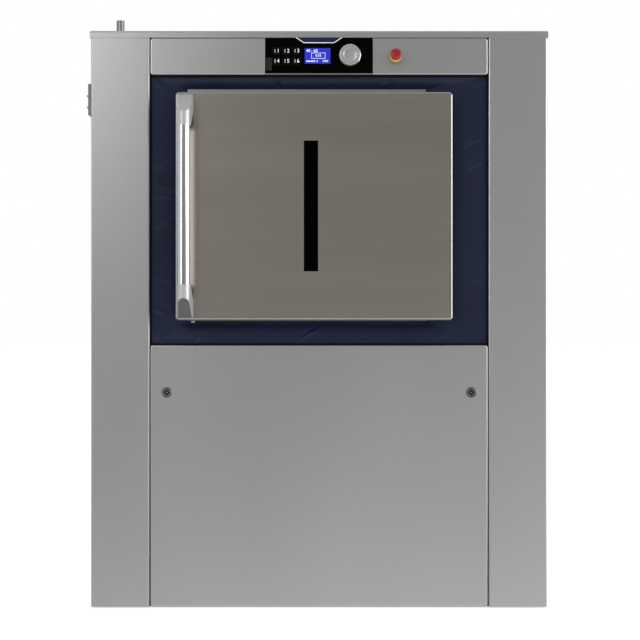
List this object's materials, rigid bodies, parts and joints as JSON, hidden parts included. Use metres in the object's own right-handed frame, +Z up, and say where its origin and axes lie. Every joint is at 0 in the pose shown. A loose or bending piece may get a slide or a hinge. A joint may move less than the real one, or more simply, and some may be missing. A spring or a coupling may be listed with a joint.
{
  "type": "barrier washing machine",
  "caption": "Pass-through barrier washer: steel cabinet, sprung tub and drum with a hinged door on each side, navy cloth surrounds, control fascia and emergency stop.",
  "frame": {"origin": "on the floor, at the middle of the four anchor holes", "axes": "+Z up, +Y from the loading side to the clean side, +X to the right as seen from the loading side"},
  "size_m": [1.233, 1.186, 1.603],
  "materials": {
    "cabinet_steel": "upright brushed stainless sheet, satin",
    "door_steel": "level brushed stainless sheet, warm satin",
    "door_frame_steel": "machined stainless plate",
    "tub_steel": "dull rolled stainless",
    "drum_steel": "polished perforated stainless",
    "frame_paint": "dark grey powder coat",
    "navy_cloth": "rubber-coated navy cloth, slightly creased",
    "black_gloss": "gloss black moulding",
    "key_black": "gloss black key caps with white numerals",
    "display_glass": "blue backlit window",
    "silver_knob": "turned satin aluminium",
    "red_plastic": "red moulding",
    "yellow_plastic": "yellow moulding",
    "lock_metal": "blackened zinc",
    "vent_plastic": "dark grey moulding",
    "dark_glass": "dark tinted pane",
    "handle_chrome": "polished tube and satin cast posts",
    "pipe_brass": "nickel-plated brass",
    "grey_plastic": "grey moulded pipe",
    "black_rubber": "matt black rubber",
    "iron": "painted casting",
    "motor_aluminium": "cast aluminium frame"
  },
  "bodies": {
    "cabinet": {"base_frame": "frame_paint", "corner_columns": "cabinet_steel", "side_panels": "cabinet_steel", "side_vent": "vent_plastic", "top_cap": "cabinet_steel", "front_upper_panel": "cabinet_steel", "front_lower_panel": "cabinet_steel", "rear_upper_panel": "cabinet_steel", "rear_lower_panel": "cabinet_steel", "front_bellows": "navy_cloth", "rear_bellows": "navy_cloth", "control_fascia": "black_gloss", "display_window": "display_glass", "stop_collar": "yellow_plastic", "water_inlet": "pipe_brass", "fill_hose": "black_rubber", "drain_hose": "black_rubber", "drain_outlet": "grey_plastic", "suspension_springs": "black_rubber", "damper_tubes": "frame_paint"},
    "tub_unit": {"outer_tub": "tub_steel", "tub_ends": "tub_steel", "bearing_housings": "iron", "front_door_frame": "door_frame_steel", "rear_door_frame": "door_frame_steel", "suspension_cradle": "frame_paint", "damper_rods": "tub_steel", "drive_motor": "motor_aluminium", "drive_belt": "black_rubber", "drain_valve": "grey_plastic"},
    "drum": {"drum_shell": "drum_steel", "drum_ends": "drum_steel", "drum_pulley": "iron"},
    "flap_upper": {"drum_flap_upper": "drum_steel"},
    "flap_lower": {"drum_flap_lower": "drum_steel"},
    "flap_latch": {"flap_latch_button": "drum_steel"},
    "motor_rotor": {"motor_pulley": "iron"},
    "front_door": {"front_door_skin": "door_steel", "front_door_window": "dark_glass", "front_door_liner": "drum_steel", "front_door_gasket": "black_rubber", "front_door_handle": "handle_chrome"},
    "rear_door": {"rear_door_skin": "door_steel", "rear_door_window": "dark_glass", "rear_door_liner": "drum_steel", "rear_door_gasket": "black_rubber", "rear_door_handle": "handle_chrome"},
    "jog_knob": {"jog_knob": "silver_knob"},
    "stop_head": {"stop_head": "red_plastic"},
    "lock_left": {"panel_lock_left": "lock_metal"},
    "lock_right": {"panel_lock_right": "lock_metal"},
    "key_1": {"program_key_1": "key_black"},
    "key_2": {"program_key_2": "key_black"},
    "key_3": {"program_key_3": "key_black"},
    "key_4": {"program_key_4": "key_black"},
    "key_5": {"program_key_5": "key_black"},
    "key_6": {"program_key_6": "key_black"}
  },
  "joints": [
    {"name": "suspension_bounce", "type": "slide", "parent": "cabinet", "child": "tub_unit", "axis": [0, 0, 1], "range_m": [-0.015, 0.015], "stiffness_N_per_m": 90000, "springref_m": 0.05934, "deforming": ["suspension_springs", "drain_hose", "front_bellows", "rear_bellows"]},
    {"name": "front_door_hinge", "type": "hinge", "parent": "tub_unit", "child": "front_door", "pos_m": [0.337, -0.492, 1.063], "axis": [0, 0, 1], "range_deg": [0, 115]},
    {"name": "rear_door_hinge", "type": "hinge", "parent": "tub_unit", "child": "rear_door", "pos_m": [0.337, 0.492, 1.063], "axis": [0, 0, -1], "range_deg": [0, 115]},
    {"name": "drum_spin", "type": "hinge", "parent": "tub_unit", "child": "drum", "pos_m": [-0.033, 0, 1.065], "axis": [1, 0, 0], "continuous": true},
    {"name": "motor_spin", "type": "hinge", "parent": "tub_unit", "child": "motor_rotor", "pos_m": [0.373, 0.12, 0.42], "axis": [1, 0, 0], "continuous": true},
    {"name": "upper_flap_hinge", "type": "hinge", "parent": "drum", "child": "flap_upper", "pos_m": [-0.033, -0.31331, 1.25322], "axis": [1, 0, 0], "range_deg": [0, 95]},
    {"name": "lower_flap_hinge", "type": "hinge", "parent": "drum", "child": "flap_lower", "pos_m": [-0.033, -0.31331, 0.87678], "axis": [-1, 0, 0], "range_deg": [0, 95]},
    {"name": "latch_press", "type": "slide", "parent": "flap_upper", "child": "flap_latch", "axis": [0, 1, 0], "range_m": [0, 0.005], "stiffness_N_per_m": 1500, "springref_m": -0.003},
    {"name": "knob_turn", "type": "hinge", "parent": "cabinet", "child": "jog_knob", "pos_m": [0.082, -0.485, 1.464], "axis": [0, 1, 0], "continuous": true},
    {"name": "stop_push", "type": "slide", "parent": "cabinet", "child": "stop_head", "axis": [0, 1, 0], "range_m": [0, 0.004], "stiffness_N_per_m": 2500, "springref_m": -0.002},
    {"name": "left_lock_turn", "type": "hinge", "parent": "cabinet", "child": "lock_left", "pos_m": [-0.404, -0.48, 0.572], "axis": [0, 1, 0], "range_deg": [0, 90]},
    {"name": "right_lock_turn", "type": "hinge", "parent": "cabinet", "child": "lock_right", "pos_m": [0.404, -0.48, 0.572], "axis": [0, -1, 0], "range_deg": [0, 90]},
    {"name": "key_1_press", "type": "slide", "parent": "cabinet", "child": "key_1", "axis": [0, 1, 0], "range_m": [0, 0.0012], "stiffness_N_per_m": 800, "springref_m": -0.001},
    {"name": "key_2_press", "type": "slide", "parent": "cabinet", "child": "key_2", "axis": [0, 1, 0], "range_m": [0, 0.0012], "stiffness_N_per_m": 800, "springref_m": -0.001},
    {"name": "key_3_press", "type": "slide", "parent": "cabinet", "child": "key_3", "axis": [0, 1, 0], "range_m": [0, 0.0012], "stiffness_N_per_m": 800, "springref_m": -0.001},
    {"name": "key_4_press", "type": "slide", "parent": "cabinet", "child": "key_4", "axis": [0, 1, 0], "range_m": [0, 0.0012], "stiffness_N_per_m": 800, "springref_m": -0.001},
    {"name": "key_5_press", "type": "slide", "parent": "cabinet", "child": "key_5", "axis": [0, 1, 0], "range_m": [0, 0.0012], "stiffness_N_per_m": 800, "springref_m": -0.001},
    {"name": "key_6_press", "type": "slide", "parent": "cabinet", "child": "key_6", "axis": [0, 1, 0], "range_m": [0, 0.0012], "stiffness_N_per_m": 800, "springref_m": -0.001}
  ],
  "couplings": [
    {"joint": "motor_spin", "follows": "drum_spin", "ratio": 5.1111}
  ]
}
